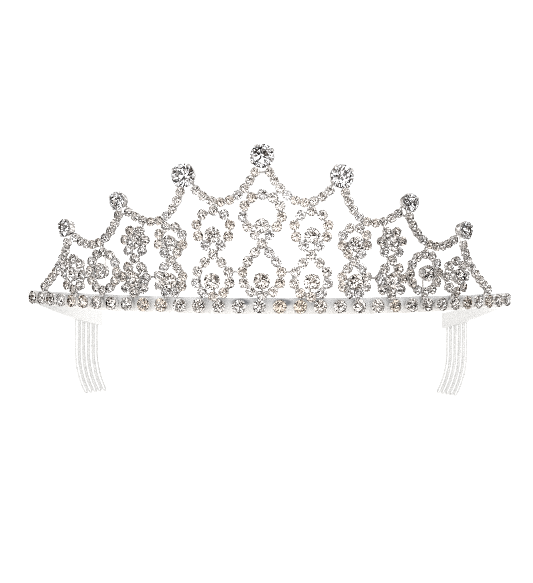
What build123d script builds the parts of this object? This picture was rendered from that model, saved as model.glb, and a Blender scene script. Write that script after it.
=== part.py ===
from build123d import *
import os
from itertools import combinations
from math import acos, copysign, cos, degrees, dist, pi, sin, sqrt

# A bridal tiara of rhinestone cup chain soldered to a bent metal band, with a small wire comb at each end.
# Millimetres. +Z is up, +X is to the right as the tiara faces you, and +Y runs back over the head. The origin is
# on the inner face of the band, at its lower edge, in the middle of the front.
# A place on the front is given as (u, v): u is the distance round the tiara from its middle, and v is the
# height above the centre line of the bottom row of stones.

# Plan curve that the stones follow, from the middle of the front to one end: radius and length of each stretch
front_stretch = (75.0, 64.0)
side_stretch = (132.0, 31.0)
turn_stretch = (23.0, 15.5)
tail_stretch = (210.0, 55.5)
plan_curve = (front_stretch, side_stretch, turn_stretch, tail_stretch)
half_length = sum(length for radius, length in plan_curve)

# Band
band_thickness = 0.8
band_height = 4.8
band_waist = 3.5           # height where the band turns back
waist_y = 60.0             # how far back the waist is
tail_drop = 10.4           # how far the tail's end lies below the front
edge_radius = 60.0         # bend of the band's edges, seen from the side
level_run = 16.0           # the band is level this far back
cut_room = 2 * tail_drop   # blanks for the band and the comb spines reach this far above and below
base_line = band_height / 2

# Cups: outside diameters, and proportions as shares of the diameter
small_cup = 2.75
base_cup = 3.6
medium_cup = 4.4
outer_peak_cup = 5.5
inner_peak_cup = 7.1
cup_depth = 0.56
seat_width = 0.87          # mouth of the conical seat
seat_floor = 0.3           # floor of the conical seat
seat_depth = 0.36
prong_count = 4
prong_width = 0.16
prong_rise = 0.13
prong_place = 0.9          # inner face of a prong, as a share of the cup's radius
prong_thickness = 0.07     # as a share of the radius
cup_back = small_cup * cup_depth   # the cups' backs lie this far inside the plan curve

# Stones, as shares of the cup's diameter
stone_sides = 8
stone_width = 0.84
table_width = 0.5
culet_width = 0.08
crown_height = 0.14
pavilion_depth = 0.32

# Solder ties between neighbouring cups
tie_width = 0.9
tie_thickness = 0.4
tie_lift = 0.1             # keeps a tie clear of the band
tie_bite = 0.15            # how far a tie sinks into the next piece's cup
tie_reach = 1.9            # widest gap that a tie bridges

# Bottom row
base_pitch = 5.94
base_first = -15
base_last = 16
base_shift = -0.7          # the stone at index 0 lies a little left of the middle

# Peaks: u, v of the stones that stand above the garlands
inner_peaks = [(0.0, 43.9), (-22.8, 38.1), (22.8, 38.1)]
outer_peaks = [(-45.3, 30.4), (45.3, 30.4), (-68.6, 21.9), (68.6, 21.9)]

# Garlands hang in a parabola. Each is given by its end nearer the middle, the point where the directions of
# its two ends meet, and its far end
garland_cups = 9
garlands = {
    "inner": [(2.1, 39.2), (10.1, 24.8), (19.9, 33.9)],
    "middle": [(24.7, 33.3), (29.5, 19.4), (42.3, 27.2)],
    "outer": [(46.2, 26.1), (52.5, 13.0), (65.0, 19.1)],
}
rail_cups = 8
rail = [(69.7, 17.4), (72.0, 10.0), (83.6, 3.5)]

# Columns of two drops that meet at a crossing. Each drop is (centre of its round bowl, bowl radius, cups
# round it, height of the medium cup inside)
columns = {
    "centre": {"u": 0.0, "crossing": 18.4, "upper": (27.0, 5.7, 12, 23.6), "lower": (9.1, 5.75, 12, 7.5)},
    "first": {"u": 14.45, "crossing": 15.1, "upper": (22.8, 5.1, 10, 20.8), "lower": (7.95, 5.15, 10, 7.2)},
    "second": {"u": 27.7, "crossing": 13.1, "upper": (19.1, 4.1, 9, 18.3), "lower": (7.45, 4.1, 9, 7.2)},
    "third": {"u": 39.9, "crossing": 13.4, "upper": (18.4, 3.65, 7, 18.3), "lower": (7.4, 4.1, 8, 7.3)},
}

# Side ovals and rosettes: u, v of the medium cup in the middle, ring radius, cups round it
oval = (52.3, 9.35, 5.65, 12)
rosette = (66.0, 8.0, 4.6, 8)

# Side combs
comb_teeth = 5
comb_inset = 1.2           # from the band's end to the first tooth
tooth_pitch = 3.2
hairpin_width = 1.9
wire_thickness = 0.62
spine_thickness = 1.0
spine_height = 1.8
comb_tip = -32.0           # height of the tooth tips
curl_radius = 26.0         # the lower part of a tooth curls towards the head
curl_length = 13.0


# Plane at a place on the front, its Z axis pointing away from the head and its Y axis up
def station(u, v, inset=0.0):
    x = y = turn = 0.0
    left = abs(u)
    for radius, length in plan_curve:
        run = min(left, length)
        after = turn + run / radius
        x += radius * (sin(after) - sin(turn))
        y += radius * (cos(turn) - cos(after))
        turn = after
        left -= run
    side = copysign(1, u)
    outward = Vector(side * sin(turn), -cos(turn), 0)
    along = Vector(cos(turn), side * sin(turn), 0)
    front = Vector(side * x, y - cup_back - band_thickness, base_line + v)
    return Plane(origin=front - outward * inset, x_dir=along, z_dir=outward)


# Plane of the back of a cup
def seat(place):
    return station(*place, cup_back)


# Places spaced evenly along a parabola
def hanging(start, pull, end, count):
    with BuildLine():
        chain = Bezier(start, pull, end)
    step = chain.length / (count - 1)
    spots = [chain.position_at(i * step, position_mode=PositionMode.LENGTH) for i in range(count)]
    return [(spot.X, spot.Y) for spot in spots]


# Places spaced evenly round a drop: from the crossing down a straight side, round the bowl and back
def drop(u, crossing, bowl, radius, count):
    reach = abs(crossing - bowl)
    way = copysign(1, crossing - bowl)
    opening = acos(radius / reach)
    side = sqrt(reach**2 - radius**2)
    outline = 2 * side + 2 * radius * (pi - opening)
    places = []
    for i in range(count):
        along = i * outline / count
        hand = 1 if along <= outline / 2 else -1
        along = min(along, outline - along)
        if along <= side:
            share = along / side
            across = share * radius * sin(opening)
            up = reach + share * (radius * cos(opening) - reach)
        else:
            angle = opening + (along - side) / radius
            across = radius * sin(angle)
            up = radius * cos(angle)
        places.append((u + hand * across, bowl + way * up))
    return places


def ring(u, v, radius, count, start=0.0):
    turns = [start + 2 * pi * i / count for i in range(count)]
    return [(u + radius * sin(t), v + radius * cos(t)) for t in turns]


# Cup with a conical seat and four prongs, its back on the XY plane
def prong_cup(diameter):
    outer = diameter / 2
    rim = diameter * cup_depth
    prong = (outer * prong_thickness, diameter * prong_width, diameter * prong_rise)
    with BuildPart() as cup:
        with BuildSketch(Plane.XZ):
            with BuildLine():
                Polyline(
                    (0, 0),
                    (outer, 0),
                    (outer, rim),
                    (outer * seat_width, rim),
                    (outer * seat_floor, rim - diameter * seat_depth),
                    (0, rim - diameter * seat_depth),
                    close=True,
                )
            make_face()
        revolve(axis=Axis.Z)
        with Locations((0, 0, rim)):
            with PolarLocations(outer * prong_place, prong_count, start_angle=180 / prong_count):
                Box(*prong, align=(Align.MIN, Align.CENTER, Align.MIN))
    return cup.part


# Round brilliant in eight facets each way, its girdle level with the rim of its cup
def brilliant(diameter):
    rim = diameter * cup_depth
    outer = diameter * stone_width / 2
    half_side = 180 / stone_sides
    with BuildPart() as stone:
        with BuildSketch(Plane.XY.offset(rim)):
            RegularPolygon(outer, stone_sides, rotation=half_side)
        with BuildSketch(Plane.XY.offset(rim + diameter * crown_height)):
            RegularPolygon(outer * table_width, stone_sides, rotation=half_side)
        loft(ruled=True)
        with BuildSketch(Plane.XY.offset(rim - diameter * pavilion_depth)):
            RegularPolygon(outer * culet_width, stone_sides, rotation=half_side)
        with BuildSketch(Plane.XY.offset(rim)):
            RegularPolygon(outer, stone_sides, rotation=half_side)
        loft(ruled=True)
    return stone.part


cup_sizes = (small_cup, base_cup, medium_cup, outer_peak_cup, inner_peak_cup)
cups = {size: prong_cup(size) for size in cup_sizes}
stones = {size: brilliant(size) for size in cup_sizes}


def save(builder, name):
    builder.part.label = name
    export_step(builder.part, f"parts/{name}.step")
    print(name, len(builder.part.solids()), round(builder.part.volume, 1))


# Flat bar behind two cups, from the middle of the first towards the second, stopping short of its middle
def tie_bar(first, second, short=0.0):
    start, end = seat(first), seat(second)
    outward = (start.z_dir + end.z_dir).normalized()
    run = end.origin - start.origin
    length = run.length - short
    middle = start.origin + run.normalized() * (length / 2) + outward * (tie_lift + tie_thickness / 2)
    return Plane(origin=middle, x_dir=run, z_dir=outward) * Box(length, tie_width, tie_thickness)


# Frame of a group: its cups, the links between them, and ties that reach to cups of other groups.
# A group is a list of (place, cup size), links are pairs of indexes, and a tie is (here, there, size there)
def make_frame(name, group, links, outer_ties):
    bars = [tie_bar(group[first][0], group[second][0]) for first, second in links]
    bars += [tie_bar(here, there, size / 2 - tie_bite) for here, there, size in outer_ties]
    with BuildPart() as frame:
        for size in cup_sizes:
            places = [seat(place) for place, cup in group if cup == size]
            if places:
                with Locations(*places):
                    add(cups[size])
        if bars:
            add(bars)
    save(frame, name)


def make_stones(name, group):
    with BuildPart() as loose:
        for size in cup_sizes:
            places = [seat(place) for place, cup in group if cup == size]
            if places:
                with Locations(*places):
                    add(stones[size])
    save(loose, name)


# Every group of cups, with its links. Left and right groups are each other's mirror image
groups = {}
chains = {}


def add_group(name, group, links):
    groups[name] = group
    chains[name] = links


def add_pair(name, group, links):
    add_group(name + "_right", group, links)
    add_group(name + "_left", [((-u, v), size) for (u, v), size in group], links)


def in_line(count):
    return [(i, i + 1) for i in range(count - 1)]


def in_loop(count):
    return [(i, (i + 1) % count) for i in range(count)]


# Cups and links of a column: the crossing cup is shared, and each medium cup is tied to the nearest ring cup
def column_group(column):
    u, crossing = column["u"], column["crossing"]
    group, links = [], []
    for part in ("upper", "lower"):
        bowl, radius, count, medium = column[part]
        first = len(group)
        ring_places = drop(u, crossing, bowl, radius, count)
        if part == "upper":
            group += [(place, small_cup) for place in ring_places]
            links += in_loop(count)
        else:
            group += [(place, small_cup) for place in ring_places[1:]]
            links += [(0, first), (0, first + count - 2)]
            links += [(first + i, first + i + 1) for i in range(count - 2)]
        group.append(((u, medium), medium_cup))
    for i, (place, size) in enumerate(group):
        if size == medium_cup:
            links.append((nearest(place, group, {i}), i))
    return group, links


def nearest(place, group, leave_out=()):
    gaps = {i: dist(place, other) for i, (other, size) in enumerate(group) if i not in leave_out}
    return min(gaps, key=gaps.get)


def ring_group(u, v, radius, count):
    group = [(place, small_cup) for place in ring(u, v, radius, count)]
    group.append(((u, v), medium_cup))
    links = in_loop(count) + [(count // 2, count), (0, count)]
    return group, links


for name, column in columns.items():
    if column["u"] == 0:
        add_group("column_" + name, *column_group(column))
    else:
        add_pair("column_" + name, *column_group(column))
for name, (start, pull, end) in garlands.items():
    places = hanging(start, pull, end, garland_cups)
    add_pair("garland_" + name, [(place, small_cup) for place in places], in_line(garland_cups))
rail_places = hanging(*rail, rail_cups)
add_pair("side_rail", [(place, small_cup) for place in rail_places], in_line(rail_cups))
add_pair("side_oval", *ring_group(*oval))
add_pair("rosette", *ring_group(*rosette))
add_group("inner_peak", [(place, inner_peak_cup) for place in inner_peaks], [])
add_group("outer_peak", [(place, outer_peak_cup) for place in outer_peaks], [])
base_places = [(base_shift + i * base_pitch, 0.0) for i in range(base_first, base_last + 1)]
add_group("base", [(place, base_cup) for place in base_places], [])

# Where groups are soldered together: for each pair, the two nearest cups if a tie reaches between them
def solder_tie(first, second):
    gaps = []
    for here, here_size in groups[first]:
        for there, there_size in groups[second]:
            gap = dist(here, there) - (here_size + there_size) / 2
            gaps.append((gap, here, there, there_size))
    return min(gaps)


ties = {name: [] for name in groups}
for first, second in combinations(groups, 2):
    gap, here, there, there_size = solder_tie(first, second)
    if gap < tie_reach:
        ties[first].append((here, there, there_size))
        print("solder", first, second, round(gap, 2))

os.makedirs("parts", exist_ok=True)
for name, group in groups.items():
    make_frame(name + ("_frame" if chains[name] else "_cups"), group, chains[name], ties[name])
    make_stones(name + "_stones", group)


# Right half of the plan curve, this far inside the line of the stones: returns its two ends
def plan_half(inset):
    start = end = (0, inset - cup_back - band_thickness)
    heading = (1, 0)
    for radius, length in plan_curve:
        bend = JernArc(end, heading, radius - inset, degrees(length / radius))
        end, heading = bend @ 1, bend % 1
    return start, end


# Band: the bent strip, cut by its outline seen from the side
with BuildPart() as base_band:
    with BuildSketch(Plane.XY.offset(-cut_room)):
        with BuildLine():
            outer_start, outer_end = plan_half(cup_back)
            inner_start, inner_end = plan_half(cup_back + band_thickness)
            Line(outer_start, inner_start)
            Line(outer_end, inner_end)
        make_face()
        mirror(about=Plane.YZ)
    extrude(amount=2 * cut_room)
    tail_y = outer_end.Y
    taper = (band_height - band_waist) / 2
    with BuildSketch(Plane.YZ):
        with BuildLine():
            front_y = -band_height
            top = FilletPolyline(
                (front_y, band_height),
                (level_run, band_height),
                (waist_y, band_height - taper),
                (tail_y, band_height - tail_drop),
                radius=edge_radius,
            )
            bottom = FilletPolyline(
                (front_y, 0),
                (level_run, 0),
                (waist_y, taper),
                (tail_y, -tail_drop),
                radius=edge_radius,
            )
            Line(top @ 0, bottom @ 0)
            Line(top @ 1, bottom @ 1)
        make_face()
    extrude(amount=tail_y, both=True, mode=Mode.INTERSECT)
save(base_band, "base_band")


# Height of the lower edge of the band's tail, this far back
def tail_edge(y):
    share = (y - waist_y) / (tail_y - waist_y)
    return taper - share * (tail_drop + taper)


# Plane on the right comb's line, this far from the band's end: X along the band, Y up, Z away from the head
def comb_station(from_end, outset=spine_thickness / 2):
    return station(half_length - from_end, 0, cup_back - outset)


# Spine of the right comb: a curved bar along the lower edge of the tail's outer face
comb_width = 2 * comb_inset + (comb_teeth - 1) * tooth_pitch + hairpin_width
with BuildPart() as comb_spine:
    with BuildSketch(Plane.XY.offset(-cut_room)):
        with BuildLine():
            ends = (0, comb_width / 2, comb_width)
            faces = [[comb_station(d, outset).origin for d in ends] for outset in (0, spine_thickness)]
            front, back = [ThreePointArc(*[(spot.X, spot.Y) for spot in face]) for face in faces]
            Line(front @ 0, back @ 0)
            Line(front @ 1, back @ 1)
        make_face()
    extrude(amount=2 * cut_room)
    with BuildSketch(Plane.YZ):
        with BuildLine():
            rear_y, front_y = tail_y + comb_inset, tail_y - comb_width
            Polyline(
                (front_y, tail_edge(front_y)),
                (rear_y, tail_edge(rear_y)),
                (rear_y, tail_edge(rear_y) + spine_height),
                (front_y, tail_edge(front_y) + spine_height),
                close=True,
            )
        make_face()
    extrude(amount=tail_y, mode=Mode.INTERSECT)


# One hairpin of the right comb, its legs crimped into the spine
def hairpin(from_end):
    curl = curl_length / curl_radius
    bend = hairpin_width / 2
    straight_end = comb_tip + wire_thickness / 2 + bend * cos(curl) + curl_radius * sin(curl)
    tip = comb_station(from_end + bend)

    def spot(across, angle, beyond=0.0):
        up = straight_end - curl_radius * sin(angle) - beyond * cos(angle) - base_line
        outward = -curl_radius * (1 - cos(angle)) - beyond * sin(angle)
        return tip.from_local_coords((across, up, outward))

    tops = []
    for across in (-bend, bend):
        foot = spot(across, 0)
        tops.append(Vector(foot.X, foot.Y, tail_edge(foot.Y) + spine_height / 2))
    with BuildPart() as pin:
        with BuildLine() as path:
            Line(tops[0], spot(-bend, 0))
            ThreePointArc(spot(-bend, 0), spot(-bend, curl / 2), spot(-bend, curl))
            ThreePointArc(spot(-bend, curl), spot(0, curl, bend), spot(bend, curl))
            ThreePointArc(spot(bend, curl), spot(bend, curl / 2), spot(bend, 0))
            Line(spot(bend, 0), tops[1])
        with BuildSketch(Plane(origin=tops[0], z_dir=(0, 0, -1))):
            Circle(wire_thickness / 2)
        sweep(path=path.wires()[0])
    return pin.part


hairpins = [hairpin(comb_inset + i * tooth_pitch) for i in range(comb_teeth)]
with BuildPart() as comb_wires:
    add(hairpins)


# A right piece, and the left one that mirrors it
def save_pair(builder, name):
    save(builder, name + "_right")
    with BuildPart() as left:
        mirror(builder.part, about=Plane.YZ)
    save(left, name + "_left")


save_pair(comb_spine, "comb_spine")
save_pair(comb_wires, "comb_teeth")
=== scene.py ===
import math
import random
import bmesh
import bpy
from mathutils import Matrix, Vector


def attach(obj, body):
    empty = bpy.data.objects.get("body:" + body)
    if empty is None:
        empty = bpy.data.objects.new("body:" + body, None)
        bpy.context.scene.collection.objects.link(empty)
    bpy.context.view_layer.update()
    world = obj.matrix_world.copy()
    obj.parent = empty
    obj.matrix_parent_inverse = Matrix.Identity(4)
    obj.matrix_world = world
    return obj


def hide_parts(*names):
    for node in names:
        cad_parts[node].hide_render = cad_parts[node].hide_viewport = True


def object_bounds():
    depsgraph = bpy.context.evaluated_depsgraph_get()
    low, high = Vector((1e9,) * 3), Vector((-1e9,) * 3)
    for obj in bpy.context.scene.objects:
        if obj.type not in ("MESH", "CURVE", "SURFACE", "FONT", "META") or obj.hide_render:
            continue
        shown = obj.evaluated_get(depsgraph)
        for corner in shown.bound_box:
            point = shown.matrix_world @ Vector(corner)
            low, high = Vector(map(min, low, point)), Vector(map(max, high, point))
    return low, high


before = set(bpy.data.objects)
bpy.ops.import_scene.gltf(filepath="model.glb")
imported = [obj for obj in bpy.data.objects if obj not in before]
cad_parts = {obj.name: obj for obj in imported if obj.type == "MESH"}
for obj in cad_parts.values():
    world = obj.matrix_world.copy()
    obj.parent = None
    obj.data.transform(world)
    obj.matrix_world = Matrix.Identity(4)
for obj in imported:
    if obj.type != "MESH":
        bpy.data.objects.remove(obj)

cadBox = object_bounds()
mm = 0.001
random.seed(11)    # the same leans and spins each run


# Camera: a long lens a little above the stones, nearly square on
camera = {
    "place": (24.3, -850.0, 46.2),   # mm
    "turn": -1.55,                   # degrees, to the left of straight back
    "pitch": -2.66,
    "roll": 0.29,
    "lens": 179.6,
    "sensor": 36.0,
    "clip": (0.05, 40.0),            # m
}


def makeCamera():
    data = bpy.data.cameras.new("studioCamera")
    data.lens = camera["lens"]
    data.sensor_width = camera["sensor"]
    data.clip_start, data.clip_end = camera["clip"]
    eye = bpy.data.objects.new("studioCamera", data)
    bpy.context.scene.collection.objects.link(eye)
    turn, pitch = math.radians(camera["turn"]), math.radians(camera["pitch"])
    ahead = Vector((math.sin(turn) * math.cos(pitch), math.cos(turn) * math.cos(pitch), math.sin(pitch)))
    aim = ahead.to_track_quat("-Z", "Y").to_matrix()
    aim = aim @ Matrix.Rotation(math.radians(camera["roll"]), 3, "Z")
    eye.matrix_world = Matrix.Translation(Vector(camera["place"]) * mm) @ aim.to_4x4()
    bpy.context.scene.camera = eye


# Helpers that every finish uses
def newMaterial(name):
    material = bpy.data.materials.new(name)
    material.use_nodes = True
    nodes, links = material.node_tree.nodes, material.node_tree.links
    return material, nodes["Principled BSDF"], nodes, links


def addRamp(nodes, links, value, stops):
    ramp = nodes.new("ShaderNodeValToRGB")
    elements = ramp.color_ramp.elements
    while len(elements) < len(stops):
        elements.new(0.5)     # moved to its place below
    for element, (place, colour) in zip(elements, stops):
        element.position = place
        element.color = (*colour, 1)
    links.new(value, ramp.inputs["Fac"])
    return ramp.outputs["Color"]


def addRange(nodes, links, value, start=(0.0, 1.0), end=(0.0, 1.0)):
    span = nodes.new("ShaderNodeMapRange")
    span.inputs["From Min"].default_value, span.inputs["From Max"].default_value = start
    span.inputs["To Min"].default_value, span.inputs["To Max"].default_value = end
    links.new(value, span.inputs["Value"])
    return span.outputs["Result"]


# How far out a place is, the same to either side of the middle
def addDistance(nodes, links, value):
    size = nodes.new("ShaderNodeMath")
    size.operation = "ABSOLUTE"
    links.new(value, size.inputs[0])
    return size.outputs["Value"]


# Noise laid over the object itself, in marks per metre
def addNoise(nodes, links, marks, detail, stretch=None):
    coords = nodes.new("ShaderNodeTexCoord")
    noise = nodes.new("ShaderNodeTexNoise")
    noise.inputs["Scale"].default_value = marks
    noise.inputs["Detail"].default_value = detail
    if stretch:
        mapping = nodes.new("ShaderNodeMapping")
        mapping.inputs["Scale"].default_value = stretch
        links.new(coords.outputs["Object"], mapping.inputs["Vector"])
        links.new(mapping.outputs["Vector"], noise.inputs["Vector"])
    else:
        links.new(coords.outputs["Object"], noise.inputs["Vector"])
    return noise.outputs["Fac"]


# Studio: a floor that glows a little, and four soft lights
studio = {
    "floorDrop": 0.095,       # m below the comb tips, so the tiara floats as on a stand
    "floorSize": 9.0,
    "floorTone": (0.93, 0.93, 0.93, 1),
    "floorRoughness": 0.85,
    "floorGlow": 0.45,
    "aim": (0, 0.05, 0.02),   # m, where the lights point
    "softboxes": (            # name, place, width, height, brightness
        ("keyBox", (-0.75, -0.95, 0.85), 0.45, 0.45, 3.4),
        ("fillBox", (0.95, -0.80, 0.45), 0.3, 0.5, 1.8),
        ("topBox", (0.0, 0.15, 1.10), 0.6, 0.4, 1.2),
        ("backBox", (0.3, 1.20, 0.60), 0.9, 0.6, 0.2),
    ),
}


def makeFloor():
    size = studio["floorSize"]
    low = cadBox[0].z - studio["floorDrop"]
    mesh = bpy.data.meshes.new("studioFloor")
    corners = [(-size, -size, low), (size, -size, low), (size, size, low), (-size, size, low)]
    mesh.from_pydata(corners, [], [(0, 1, 2, 3)])
    floor = bpy.data.objects.new("studioFloor", mesh)
    bpy.context.scene.collection.objects.link(floor)
    paint, shader = newMaterial("paleFloor")[:2]
    shader.inputs["Base Color"].default_value = studio["floorTone"]
    shader.inputs["Roughness"].default_value = studio["floorRoughness"]
    shader.inputs["Emission Color"].default_value = (1, 1, 1, 1)
    shader.inputs["Emission Strength"].default_value = studio["floorGlow"]
    mesh.materials.append(paint)
    floor.visible_glossy = False         # the stones and metal reflect the room alone
    floor.visible_transmission = False


def makeLights():
    for name, place, width, height, brightness in studio["softboxes"]:
        data = bpy.data.lights.new(name, "AREA")
        data.shape = "RECTANGLE"
        data.size = width
        data.size_y = height
        data.energy = brightness * math.pi * width * height
        box = bpy.data.objects.new(name, data)
        box.location = place
        box.rotation_euler = (Vector(studio["aim"]) - box.location).to_track_quat("-Z", "Y").to_euler()
        bpy.context.scene.collection.objects.link(box)


# Room that the stones and metal reflect: pale, with dark gaps, and brighter to both sides
room = {
    "gaps": 3.8,              # scale of the noise
    "gapDetail": 2.0,
    "gapRoughness": 0.6,
    "tones": [(0.44, (0.012, 0.012, 0.013)), (0.483, (0.055, 0.044, 0.037)), (0.507, (0.22, 0.175, 0.145)),
              (0.532, (0.64, 0.59, 0.55)), (0.60, (1.95, 1.94, 1.93))],
    "light": 0.95,            # at the front and the back, and everywhere for plain surfaces
    "sideLight": 1.7,
    "sideReach": (0.35, 1.0),   # where it starts to brighten, and where it is brightest
    "backdrop": 1.02,
    "filterWidth": 0.9,
}


def addBackground(nodes, strength=None):
    light = nodes.new("ShaderNodeBackground")
    light.inputs["Color"].default_value = (1, 1, 1, 1)
    if strength:
        light.inputs["Strength"].default_value = strength
    return light


def makeRoom():
    world = bpy.data.worlds.new("studioRoom")
    bpy.context.scene.world = world
    world.use_nodes = True
    nodes, links = world.node_tree.nodes, world.node_tree.links
    nodes.clear()
    coords = nodes.new("ShaderNodeTexCoord")
    gaps = nodes.new("ShaderNodeTexNoise")
    gaps.inputs["Scale"].default_value = room["gaps"]
    gaps.inputs["Detail"].default_value = room["gapDetail"]
    gaps.inputs["Roughness"].default_value = room["gapRoughness"]
    links.new(coords.outputs["Generated"], gaps.inputs["Vector"])
    way = nodes.new("ShaderNodeSeparateXYZ")
    links.new(coords.outputs["Generated"], way.inputs["Vector"])
    aside = addDistance(nodes, links, way.outputs["X"])
    walls = addBackground(nodes)
    links.new(addRamp(nodes, links, gaps.outputs["Fac"], room["tones"]), walls.inputs["Color"])
    links.new(addRange(nodes, links, aside, room["sideReach"], (room["light"], room["sideLight"])),
              walls.inputs["Strength"])
    plain = addBackground(nodes, room["light"])
    backdrop = addBackground(nodes, room["backdrop"])
    path = nodes.new("ShaderNodeLightPath")
    byDiffuse = nodes.new("ShaderNodeMixShader")
    byCamera = nodes.new("ShaderNodeMixShader")
    out = nodes.new("ShaderNodeOutputWorld")
    links.new(path.outputs["Is Diffuse Ray"], byDiffuse.inputs[0])
    links.new(walls.outputs[0], byDiffuse.inputs[1])
    links.new(plain.outputs[0], byDiffuse.inputs[2])
    links.new(path.outputs["Is Camera Ray"], byCamera.inputs[0])
    links.new(byDiffuse.outputs[0], byCamera.inputs[1])
    links.new(backdrop.outputs[0], byCamera.inputs[2])
    links.new(byCamera.outputs[0], out.inputs["Surface"])
    bpy.context.scene.view_settings.view_transform = "Standard"
    bpy.context.scene.cycles.use_denoising = False    # keeps the facets crisp
    bpy.context.scene.cycles.filter_width = room["filterWidth"]


# Polishing marks: roughness that wanders between two limits, and a faint bump
def addGrain(shader, nodes, links, finish):
    grain = addNoise(nodes, links, finish["marks"], detail=3.0, stretch=finish.get("stretch"))
    rough = addRange(nodes, links, grain, end=finish["roughness"])
    links.new(rough, shader.inputs["Roughness"])
    lines = nodes.new("ShaderNodeBump")
    lines.inputs["Strength"].default_value = finish["bump"]
    lines.inputs["Distance"].default_value = finish["depth"]
    links.new(grain, lines.inputs["Height"])
    links.new(lines.outputs["Normal"], shader.inputs["Normal"])


# Cups: bright silver, cloudy from cup to cup
cupFinish = {
    "metallic": 1.0,
    "clouds": 375.0,
    "tones": [(0.3, (0.84, 0.83, 0.82)), (0.7, (0.95, 0.94, 0.93))],
    "marks": 2500.0,
    "roughness": (0.189, 0.378),
    "bump": 0.05,
    "depth": 0.2 * mm,
}

# Comb teeth: pale plated wire
wireFinish = {
    "metallic": 0.15,
    "clouds": 390.0,
    "tones": [(0.3, (0.66, 0.66, 0.65)), (0.7, (0.74, 0.74, 0.73))],
    "marks": 2600.0,
    "roughness": (0.21, 0.42),
    "bump": 0.05,
    "depth": 0.2 * mm,
}


def makeSilver(name, finish):
    metal, shader, nodes, links = newMaterial(name)
    shader.inputs["Metallic"].default_value = finish["metallic"]
    clouds = addNoise(nodes, links, finish["clouds"], detail=4.0)
    links.new(addRamp(nodes, links, clouds, finish["tones"]), shader.inputs["Base Color"])
    addGrain(shader, nodes, links, finish)
    return metal


# Strip and comb spines: pale and soft, with painted shade: the upper part greyer than the lower, the inner
# faces darker, and two painted dark reflections beside the middle
bandFinish = {
    "metallic": 0.12,
    "clouds": 45.0,
    "wander": 0.003,              # m, how far the clouds shift the tones
    "rise": (-0.009, 0.0075),     # m, from the first tone to the last
    # painted shade: the tones by height, from low to high
    "tones": [(0.0, (0.70, 0.70, 0.69)), (0.50, (0.75, 0.75, 0.74)), (0.60, (0.90, 0.88, 0.85)),
              (0.74, (0.90, 0.89, 0.875)), (0.86, (0.78, 0.785, 0.79)), (1.0, (0.85, 0.85, 0.85))],
    # painted shade on the faces that turn away from the front
    "innerTone": (0.72, 0.72, 0.71),
    "outerFace": (-0.2, -0.5),    # how far a face turns to the front, from the painted shade of the inner tone to the outer tones
    "shadePlace": (6.2, 0.0, 3.5),    # mm: a painted dark reflection, a curve on each side of the middle
    "shadeSize": (3.4, 1.0, 1.3),     # mm
    "shadeEdge": (1.0, 0.55),         # share of that size, from none of the painted reflection to all of it
    "shadeTone": (0.24, 0.25, 0.27),
    "marks": 2200.0,
    "stretch": (0.1, 0.1, 1.0),
    "roughness": (0.22, 0.38),
    "bump": 0.04,
    "depth": 0.2 * mm,
}


# Tone by height, a painted shade, wandering a little with the clouds
def addPaintedShadeByHeight(nodes, links, height):
    wave = nodes.new("ShaderNodeMath")
    wave.operation = "MULTIPLY_ADD"
    links.new(addNoise(nodes, links, bandFinish["clouds"], detail=2.0), wave.inputs[0])
    wave.inputs[1].default_value = bandFinish["wander"]
    links.new(height, wave.inputs[2])
    share = addRange(nodes, links, wave.outputs["Value"], bandFinish["rise"])
    return addRamp(nodes, links, share, bandFinish["tones"])


# The painted dark reflections, two curves: 1 inside them and 0 outside
def addPaintedReflection(nodes, links, place):
    spot = nodes.new("ShaderNodeCombineXYZ")
    links.new(addDistance(nodes, links, place["X"]), spot.inputs["X"])
    links.new(place["Z"], spot.inputs["Z"])
    away = nodes.new("ShaderNodeMapping")
    away.inputs["Scale"].default_value = [1 / (size * mm) for size in bandFinish["shadeSize"]]
    away.inputs["Location"].default_value = [
        -middle / size for middle, size in zip(bandFinish["shadePlace"], bandFinish["shadeSize"])]
    links.new(spot.outputs["Vector"], away.inputs["Vector"])
    reach = nodes.new("ShaderNodeVectorMath")
    reach.operation = "LENGTH"
    links.new(away.outputs["Vector"], reach.inputs[0])
    return addRange(nodes, links, reach.outputs["Value"], bandFinish["shadeEdge"])


def makeBandSilver():
    metal, shader, nodes, links = newMaterial("bandSilver")
    shader.inputs["Metallic"].default_value = bandFinish["metallic"]
    coords = nodes.new("ShaderNodeTexCoord")
    place = nodes.new("ShaderNodeSeparateXYZ")
    links.new(coords.outputs["Object"], place.inputs["Vector"])
    # Painted shade: faces turned away from the front take the darker inner tone
    facing = nodes.new("ShaderNodeSeparateXYZ")
    links.new(coords.outputs["Normal"], facing.inputs["Vector"])
    outside = addRange(nodes, links, facing.outputs["Y"], bandFinish["outerFace"])
    sides = nodes.new("ShaderNodeMixRGB")
    sides.inputs["Color1"].default_value = (*bandFinish["innerTone"], 1)
    links.new(outside, sides.inputs["Fac"])
    links.new(addPaintedShadeByHeight(nodes, links, place.outputs["Z"]), sides.inputs["Color2"])
    # Painted dark reflections, on faces that turn to the front only
    dark = nodes.new("ShaderNodeMath")
    dark.operation = "MULTIPLY"
    links.new(addPaintedReflection(nodes, links, place.outputs), dark.inputs[0])
    links.new(outside, dark.inputs[1])
    tones = nodes.new("ShaderNodeMixRGB")
    tones.inputs["Color2"].default_value = (*bandFinish["shadeTone"], 1)
    links.new(dark.outputs["Value"], tones.inputs["Fac"])
    links.new(sides.outputs["Color"], tones.inputs["Color1"])
    links.new(tones.outputs["Color"], shader.inputs["Base Color"])
    addGrain(shader, nodes, links, bandFinish)
    return metal


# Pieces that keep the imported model's own shape
plated = {
    "strip": ("base_band", "comb_spine_left", "comb_spine_right"),
    "wire": ("comb_teeth_left", "comb_teeth_right"),
}


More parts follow.
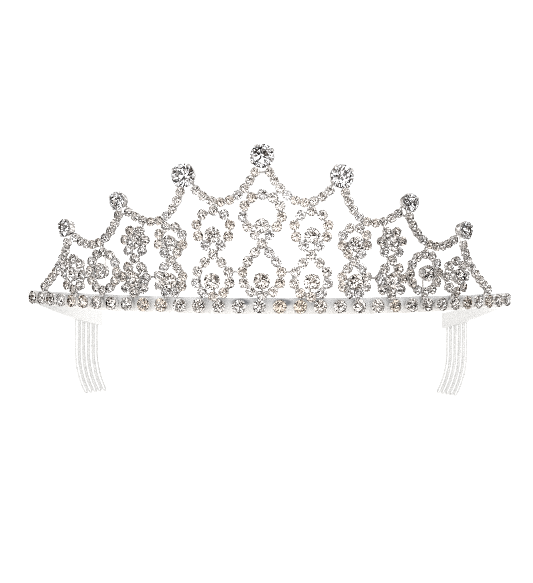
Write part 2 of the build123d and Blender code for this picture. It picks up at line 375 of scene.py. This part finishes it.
def platePieces(part, metal):
    for name in plated[part]:
        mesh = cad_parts[name].data
        mesh.materials.clear()
        mesh.materials.append(metal)


# Crystal over foil. The foil is silver, each stone a little warmer or cooler than the next
crystalFinish = {
    "bend": 1.6,
    "marks": 900.0,
    "roughness": (0.0, 0.02),
}

foilFinish = {
    "roughness": 0.03,
    "peak": [(0.0, (0.92, 0.93, 0.95)), (1.0, (0.95, 0.96, 0.97))],
    "base": [(0.0, (0.90, 0.83, 0.75)), (0.2, (0.93, 0.89, 0.85)),
             (0.4, (0.95, 0.93, 0.91)), (1.0, (0.96, 0.96, 0.96))],
    "small": [(0.0, (0.94, 0.90, 0.86)), (0.35, (0.96, 0.94, 0.92)),
              (0.7, (0.97, 0.96, 0.95)), (1.0, (0.94, 0.95, 0.97))],
}


def makeCrystal():
    glass, shader, nodes, links = newMaterial("clearCrystal")
    shader.inputs["Base Color"].default_value = (1, 1, 1, 1)
    shader.inputs["Transmission Weight"].default_value = 1.0
    shader.inputs["IOR"].default_value = crystalFinish["bend"]
    polish = addNoise(nodes, links, crystalFinish["marks"], detail=2.0)
    links.new(addRange(nodes, links, polish, end=crystalFinish["roughness"]), shader.inputs["Roughness"])
    return glass


def makeFoil(kind):
    foil, shader, nodes, links = newMaterial(kind + "Foil")
    shader.inputs["Metallic"].default_value = 1.0
    shader.inputs["Roughness"].default_value = foilFinish["roughness"]
    geometry = nodes.new("ShaderNodeNewGeometry")
    tint = addRamp(nodes, links, geometry.outputs["Random Per Island"], foilFinish[kind])
    links.new(tint, shader.inputs["Base Color"])
    return foil


def foilKind(name):
    if name.endswith("peak"):
        return "peak"
    return "base" if name == "base" else "small"


# Cups and stones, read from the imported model
cadCup = {
    "stoneWidth": 0.84,       # of the cup's diameter
    "girdleHeight": 0.56,     # of the cup's diameter, above the cup's back
    "weld": 0.001 * mm,
    "ringShare": 0.999,       # corners this near the full width apart belong to the girdle
}


def splitIslands(mesh):
    work = bmesh.new()
    work.from_mesh(mesh)
    bmesh.ops.remove_doubles(work, verts=work.verts, dist=cadCup["weld"])
    islands, done = [], set()
    for vert in work.verts:
        if vert in done:
            continue
        island, edge = [], [vert]
        done.add(vert)
        while edge:
            here = edge.pop()
            island.append(here.co.copy())
            for seam in here.link_edges:
                other = seam.other_vert(here)
                if other not in done:
                    done.add(other)
                    edge.append(other)
        islands.append(island)
    work.free()
    return islands


# A cup from its plain stone: the widest ring of corners is the girdle, and most of the depth lies behind it
def readCup(points):
    width = max((a - b).length for a in points for b in points)
    ring = [a for a in points if any((a - b).length > cadCup["ringShare"] * width for b in points)]
    middle = sum(ring, Vector()) / len(ring)
    first = ring[0] - middle
    second = max((a - middle for a in ring), key=lambda way: first.cross(way).length)
    axis = first.cross(second).normalized()
    if (sum(points, Vector()) / len(points) - middle).dot(axis) > 0:
        axis = -axis
    size = width / cadCup["stoneWidth"]
    back = middle - axis * size * cadCup["girdleHeight"]
    return {"size": size, "girdle": middle, "axis": axis, "back": back}


def readCups():
    groups = {}
    for name in sorted(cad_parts):
        if name.endswith("_stones"):
            stones = splitIslands(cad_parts[name].data)
            groups[name.removesuffix("_stones")] = [readCup(points) for points in stones]
    return groups


def gapBetween(first, second):
    return (first["girdle"] - second["girdle"]).length - (first["size"] + second["size"]) / 2


# Cups swell to nearly meet their nearest neighbour, because pressed metal spreads as the prongs close
swelling = {
    "share": 0.9,             # of the gap
    "most": 0.13,             # of the cup's diameter
    "largest": 5.0 * mm,      # cups from this size up keep theirs
}


def swellCups(groups):
    cups = [cup for members in groups.values() for cup in members]
    gaps = {id(cup): min(gapBetween(cup, other) for other in cups if other is not cup) for cup in cups}
    for cup in cups:
        if cup["size"] < swelling["largest"]:
            cup["size"] += max(0.0, min(gaps[id(cup)] * swelling["share"], cup["size"] * swelling["most"]))
            cup["girdle"] = cup["back"] + cup["axis"] * cup["size"] * cadCup["girdleHeight"]


# Round brilliants
brilliant = {
    "width": 1.0,         # of the cup's diameter
    "lift": 0.03,         # girdle above the plain stone's, of the cup's diameter
    "mains": 8,           # main facets around the crown, and around the back
    "table": 0.56,        # of the stone's radius, like the rest
    "stars": 0.80,
    "crown": 0.31,
    "girdle": 0.05,
    "pavilion": 0.84,
    "halves": 0.24,       # where the lower halves end
    "tilt": 4.0,          # most that a stone leans in its cup, in degrees
}


# Corners and facets of one stone of radius 1, girdle at z = 0. A facet is (corners, is it below the girdle)
def brilliantShape():
    table, stars, crown = brilliant["table"], brilliant["stars"], brilliant["crown"]
    depth, halves, belt = brilliant["pavilion"], brilliant["halves"], brilliant["girdle"] / 2
    mains = brilliant["mains"]
    step = math.tau / mains
    starRise = crown * (1 - stars * math.cos(step / 2)) / (1 - table)
    halfDrop = depth * (1 - halves * math.cos(step / 2))

    def spread(radius, height, count, start):
        turns = [start + math.tau * i / count for i in range(count)]
        return [Vector((radius * math.cos(t), radius * math.sin(t), height)) for t in turns]

    points = spread(table, crown + belt, mains, 0)
    points += spread(stars, starRise + belt, mains, step / 2)
    points += spread(1, belt, 2 * mains, 0)
    points += spread(1, -belt, 2 * mains, 0)
    points += spread(halves, -halfDrop - belt, mains, step / 2)
    points.append(Vector((0, 0, -depth - belt)))
    star, upper, lower, half, culet = mains, 2 * mains, 4 * mains, 6 * mains, 7 * mains
    facets = [(list(range(mains)), False)]
    for k in range(mains):
        after, before = (k + 1) % mains, (k - 1) % mains
        main, side, nextMain = 2 * k, 2 * k + 1, (2 * k + 2) % (2 * mains)
        facets.append(([k, star + before, upper + main, star + k], False))
        facets.append(([k, star + k, after], False))
        facets.append(([star + k, upper + main, upper + side], False))
        facets.append(([star + k, upper + side, upper + nextMain], False))
        facets.append(([upper + main, lower + main, lower + side, upper + side], False))
        facets.append(([upper + side, lower + side, lower + nextMain, upper + nextMain], False))
        facets.append(([culet, half + k, lower + main, half + before], True))
        facets.append(([half + k, lower + side, lower + main], True))
        facets.append(([half + k, lower + nextMain, lower + side], True))
    return points, facets


# Turn that lays a shape's z along the axis, and its y as near to up as it can
def turned(axis, up):
    side = up.cross(axis).normalized()
    return Matrix((side, axis.cross(side), axis)).transposed()


def addShape(work, points, facets, place, turn, scale):
    corners = [work.verts.new(place + turn @ (point * scale)) for point in points]
    for order, index in facets:
        face = work.faces.new([corners[i] for i in order])
        face.material_index = int(index)


def finishPiece(name, work, materials, nodes, smoothAngle=None):
    bmesh.ops.recalc_face_normals(work, faces=work.faces)
    mesh = bpy.data.meshes.new(name)
    work.to_mesh(mesh)
    work.free()
    for material in materials:
        mesh.materials.append(material)
    if smoothAngle:
        for face in mesh.polygons:
            face.use_smooth = True
        mesh.set_sharp_from_angle(angle=math.radians(smoothAngle))
    piece = bpy.data.objects.new(name, mesh)
    bpy.context.scene.collection.objects.link(piece)
    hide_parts(*nodes)
    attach(piece, "root")


def makeGems(name, cups, materials):
    points, facets = brilliantShape()
    work = bmesh.new()
    for cup in cups:
        lean = Matrix.Rotation(math.radians(random.uniform(-1, 1) * brilliant["tilt"]), 3, "X")
        lean = lean @ Matrix.Rotation(math.radians(random.uniform(-1, 1) * brilliant["tilt"]), 3, "Y")
        spin = Matrix.Rotation(random.uniform(0, math.tau), 3, "Z")
        turn = turned(cup["axis"], Vector((0, 0, 1))) @ lean @ spin
        place = cup["girdle"] + cup["axis"] * cup["size"] * brilliant["lift"]
        addShape(work, points, facets, place, turn, cup["size"] * brilliant["width"] / 2)
    finishPiece(name + "_gems", work, materials, [name + "_stones"])


# Cups with their prongs, for a cup of diameter 1. Radii are shares of the half width
setting = {
    "wall": ((0.0, 0.0), (0.60, 0.0), (0.70, 0.04), (0.86, 0.26), (0.95, 0.40), (0.97, 0.44),
             (0.91, 0.455), (0.86, 0.42), (0.66, 0.28), (0.30, 0.17), (0.0, 0.15)),
    "sides": 24,
    "prongs": 4,
    "prongLine": ((0.92, 0.36), (1.00, 0.48), (1.035, 0.57), (1.02, 0.63), (0.95, 0.668), (0.86, 0.675)),
    "prongWidths": (0.17, 0.16, 0.15, 0.14, 0.12, 0.07),
    "prongThickness": 0.045,
    "prongSection": ((-1, 0), (-0.7, 1), (0.7, 1), (1, 0), (0.7, -1), (-0.7, -1)),    # across, out
    "smoothAngle": 35,        # degrees
}


# Four-cornered facets between two rings of corners
def around(low, high):
    facets = []
    for i in range(len(low)):
        j = (i + 1) % len(low)
        facets.append([low[i], low[j], high[j], high[i]])
    return facets


# The turned wall, closed to a point at both ends
def wallShape():
    points, facets, rings = [], [], []
    sides = setting["sides"]
    for radius, height in setting["wall"]:
        if radius == 0:
            rings.append([len(points)])
            points.append(Vector((0, 0, height)))
            continue
        rings.append(list(range(len(points), len(points) + sides)))
        for i in range(sides):
            t = math.tau * i / sides
            points.append(Vector((radius / 2 * math.cos(t), radius / 2 * math.sin(t), height)))
    for low, high in zip(rings, rings[1:]):
        if len(low) == 1:
            facets += [[low[0], high[(i + 1) % sides], high[i]] for i in range(sides)]
        elif len(high) == 1:
            facets += [[low[i], low[(i + 1) % sides], high[0]] for i in range(sides)]
        else:
            facets += around(low, high)
    return points, facets


# The wall, and prongs that fold over the crystal
def cupShape():
    points, facets = wallShape()
    line = [Vector((radius / 2, 0, height)) for radius, height in setting["prongLine"]]
    outline = setting["prongSection"]
    for p in range(setting["prongs"]):
        turn = Matrix.Rotation(math.tau * (p + 0.5) / setting["prongs"], 3, "Z")
        sections = []
        for i, (spot, width) in enumerate(zip(line, setting["prongWidths"])):
            ahead = (line[min(i + 1, len(line) - 1)] - line[max(i - 1, 0)]).normalized()
            outward = Vector((ahead.z, 0, -ahead.x)) * setting["prongThickness"] / 2
            across = Vector((0, width / 2, 0))
            sections.append(list(range(len(points), len(points) + len(outline))))
            for side, out in outline:
                points.append(turn @ (spot + across * side + outward * out))
        for low, high in zip(sections, sections[1:]):
            facets += around(low, high)
        facets.append(sections[0][::-1])
        facets.append(sections[-1])
    return points, [(facet, 0) for facet in facets]


# Flat links between cups, of the cups' metal
link = {
    "narrow": 0.62 * mm,
    "wide": 1.5 * mm,         # where the cups nearly touch
    "close": 0.3 * mm,        # a gap under this is nearly touching
    "thickness": 0.34 * mm,
    "lift": 0.1 * mm,
    "reach": 0.9 * mm,        # widest gap within a group that is linked
    "solderReach": 1.9 * mm,  # widest gap to another group
    "outline": (              # across and out, with the edges taken off
        (-1, 0.25), (-0.75, 0), (0.75, 0), (1, 0.25), (1, 0.75), (0.75, 1), (-0.75, 1), (-1, 0.75)),
}


def addLink(work, first, second):
    start = first["back"] + first["axis"] * link["lift"]
    end = second["back"] + second["axis"] * link["lift"]
    along = (end - start).normalized()
    outward = (first["axis"] + second["axis"]).normalized()
    across = outward.cross(along).normalized()
    half = link["wide" if gapBetween(first, second) < link["close"] else "narrow"] / 2
    ends = [[work.verts.new(spot + across * half * a + outward * link["thickness"] * b)
             for a, b in link["outline"]] for spot in (start, end)]
    for corners in around(*ends) + [ends[0][::-1], ends[1]]:
        work.faces.new(corners)


# Pairs of cups to link: close ones within a group, a lone one with its nearest, and the nearest two of
# groups that touch
def findLinks(groups):
    found = {name: [] for name in groups}
    names = list(groups)
    for n, name in enumerate(names):
        cups = groups[name]
        joined = set()
        for i, first in enumerate(cups):
            for j in range(i + 1, len(cups)):
                if gapBetween(first, cups[j]) < link["reach"]:
                    found[name].append((first, cups[j]))
                    joined |= {i, j}
        if joined:
            for i in set(range(len(cups))) - joined:
                nearest = min((gapBetween(cups[i], cup), j) for j, cup in enumerate(cups) if j != i)[1]
                found[name].append((cups[i], cups[nearest]))
        for other in names[n + 1:]:
            gap, i, j = min((gapBetween(a, b), i, j) for i, a in enumerate(cups)
                            for j, b in enumerate(groups[other]))
            if gap < link["solderReach"]:
                found[name].append((cups[i], groups[other][j]))
    return found


def makeSettings(name, cups, links, metal):
    points, facets = cupShape()
    work = bmesh.new()
    for cup in cups:
        near = min((other for other in cups if other is not cup), key=lambda other: gapBetween(cup, other))
        up = (near["girdle"] - cup["girdle"]).normalized()
        up = (up - cup["axis"] * up.dot(cup["axis"])).normalized()
        addShape(work, points, facets, cup["back"], turned(cup["axis"], up), cup["size"])
    for first, second in links:
        addLink(work, first, second)
    cadName = name + ("_frame" if name + "_frame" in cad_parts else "_cups")
    finishPiece(name + "_settings", work, [metal], [cadName], setting["smoothAngle"])


makeCamera()
makeFloor()
makeLights()
makeRoom()
print("studio ready")

cupSilver = makeSilver("cupSilver", cupFinish)
bandSilver = makeBandSilver()
wireSilver = makeSilver("wireSilver", wireFinish)
crystal = makeCrystal()
foils = {kind: makeFoil(kind) for kind in ("peak", "base", "small")}
print("finishes ready")

groups = readCups()
links = findLinks(groups)
swellCups(groups)
print("cups read:", sum(len(cups) for cups in groups.values()))
for name, cups in groups.items():
    makeGems(name, cups, [crystal, foils[foilKind(name)]])
    makeSettings(name, cups, links[name], cupSilver)
print("stones and cups made")

platePieces("strip", bandSilver)
platePieces("wire", wireSilver)
print("band and combs finished")
